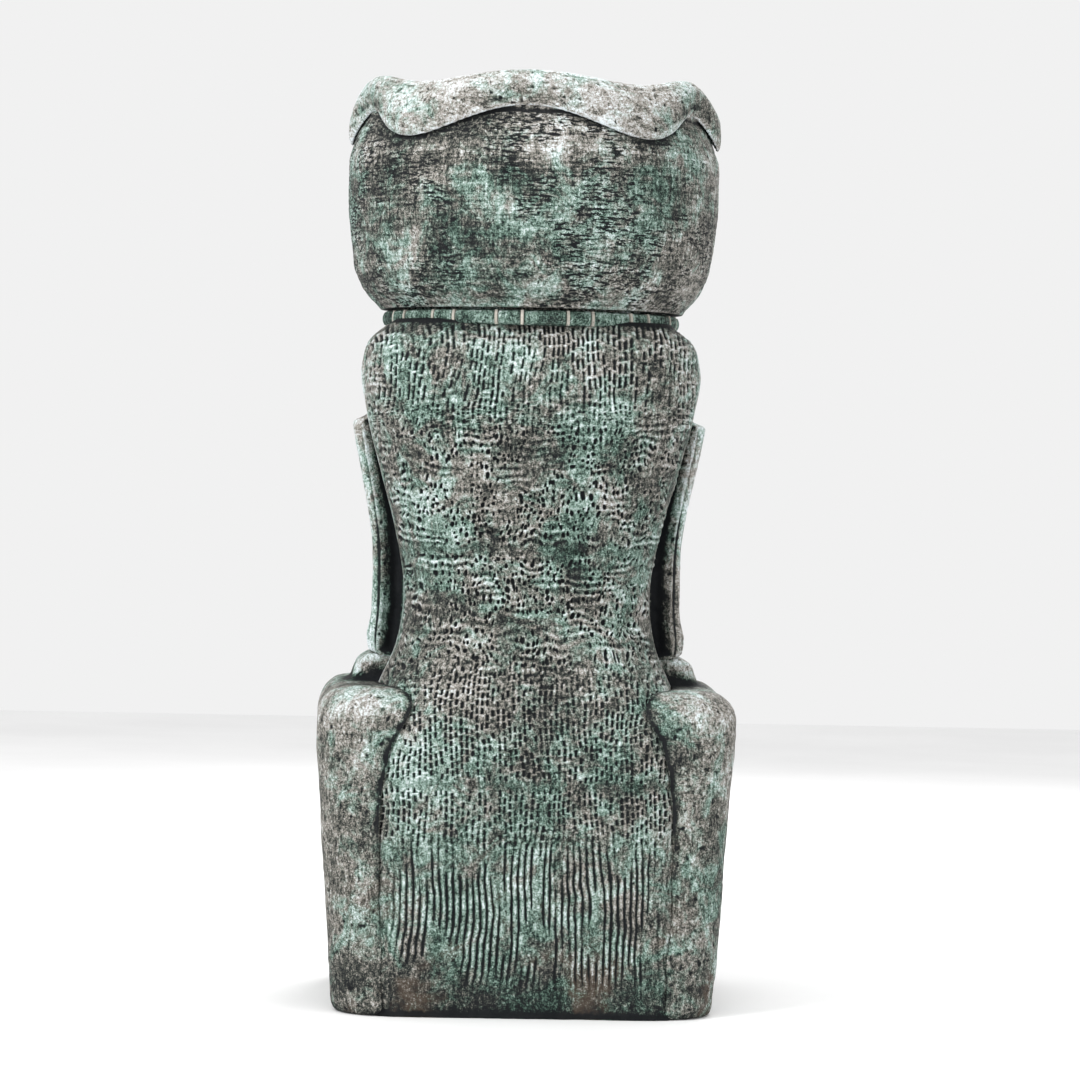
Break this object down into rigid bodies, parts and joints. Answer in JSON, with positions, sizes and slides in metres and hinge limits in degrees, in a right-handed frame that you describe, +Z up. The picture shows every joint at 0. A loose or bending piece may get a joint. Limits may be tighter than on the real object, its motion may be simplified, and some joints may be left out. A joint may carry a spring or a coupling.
{
  "type": "pedestal drinking fountain",
  "caption": "Cast-stone pedestal drinking fountain shaped as a bust carrying a round bowl, with a bubbler, push valve and piped waste.",
  "frame": {"origin": "ground level, middle of the mounting frame's anchor pattern under the foot", "axes": "+Z up; the face and the push button look along -Y; the carved hair covers the back, +Y; +X is the right of someone standing behind it with the hair towards them"},
  "size_m": [0.454, 0.4199, 1],
  "materials": {
    "patina_stone": "matte cast stone, teal verdigris wash, pale dry brush on the high spots, dark pits",
    "mortar": "matte mortar",
    "steel": "satin stainless",
    "chrome": "polished plate",
    "brass": "machined",
    "copper_pipe": "lacquered copper tube",
    "lever_red": "enamel",
    "rubber": "matte",
    "waste_plastic": "moulded plastic"
  },
  "bodies": {
    "fountain": {"band_mortar": "mortar", "band_tiles": "patina_stone", "basin": "steel", "bedding_mortar": "mortar", "bowl_casting": "patina_stone", "bubbler_body": "chrome", "bubbler_gasket": "rubber", "bubbler_guard": "chrome", "bubbler_nut": "brass", "bubbler_tube": "copper_pipe", "bubbler_tube_nut": "brass", "crown_bolts": "steel", "crown_nuts": "steel", "crown_washers": "steel", "drain_body": "brass", "drain_gasket": "rubber", "drain_nut": "brass", "frame_screws": "steel", "front_shell": "patina_stone", "inline_strainer": "brass", "mounting_frame": "steel", "rear_shell": "patina_stone", "return_spring": "steel", "rim_casting": "patina_stone", "riser": "copper_pipe", "riser_nut": "brass", "seam_bolts": "steel", "seam_washers": "steel", "stop_valve_body": "brass", "strainer": "steel", "strainer_screw": "steel", "supply_tail": "copper_pipe", "tailpiece": "waste_plastic", "trap": "waste_plastic", "trap_nut": "waste_plastic", "valve_bezel": "chrome", "valve_body": "brass", "valve_gasket": "rubber", "waste_pipe": "waste_plastic", "waste_tail": "waste_plastic"},
    "button": {"push_button": "chrome", "valve_plunger": "brass"},
    "stop_valve_handle": {"stop_valve_stem": "brass", "stop_valve_lever": "lever_red", "lever_nut": "steel"},
    "cover": {"access_cover": "patina_stone", "cover_seal": "rubber", "cover_screws": "steel"},
    "flow_adjuster": {"flow_screw": "brass"}
  },
  "joints": [
    {"name": "button_press", "type": "slide", "parent": "fountain", "child": "button", "axis": [0, 1, 0], "range_m": [0, 0.005], "stiffness_N_per_m": 900, "springref_m": -0.004, "deforming": ["return_spring"]},
    {"name": "stop_valve_turn", "type": "hinge", "parent": "fountain", "child": "stop_valve_handle", "pos_m": [0.07, -0.09, 0.238], "axis": [0, -1, 0], "range_deg": [0, 90]},
    {"name": "cover_lift", "type": "slide", "parent": "fountain", "child": "cover", "axis": [0, -1, 0], "range_m": [0, 0.12]},
    {"name": "flow_adjust", "type": "hinge", "parent": "fountain", "child": "flow_adjuster", "pos_m": [0, -0.14, 0.83], "axis": [0, 0, 1], "range_deg": [0, 270]}
  ]
}
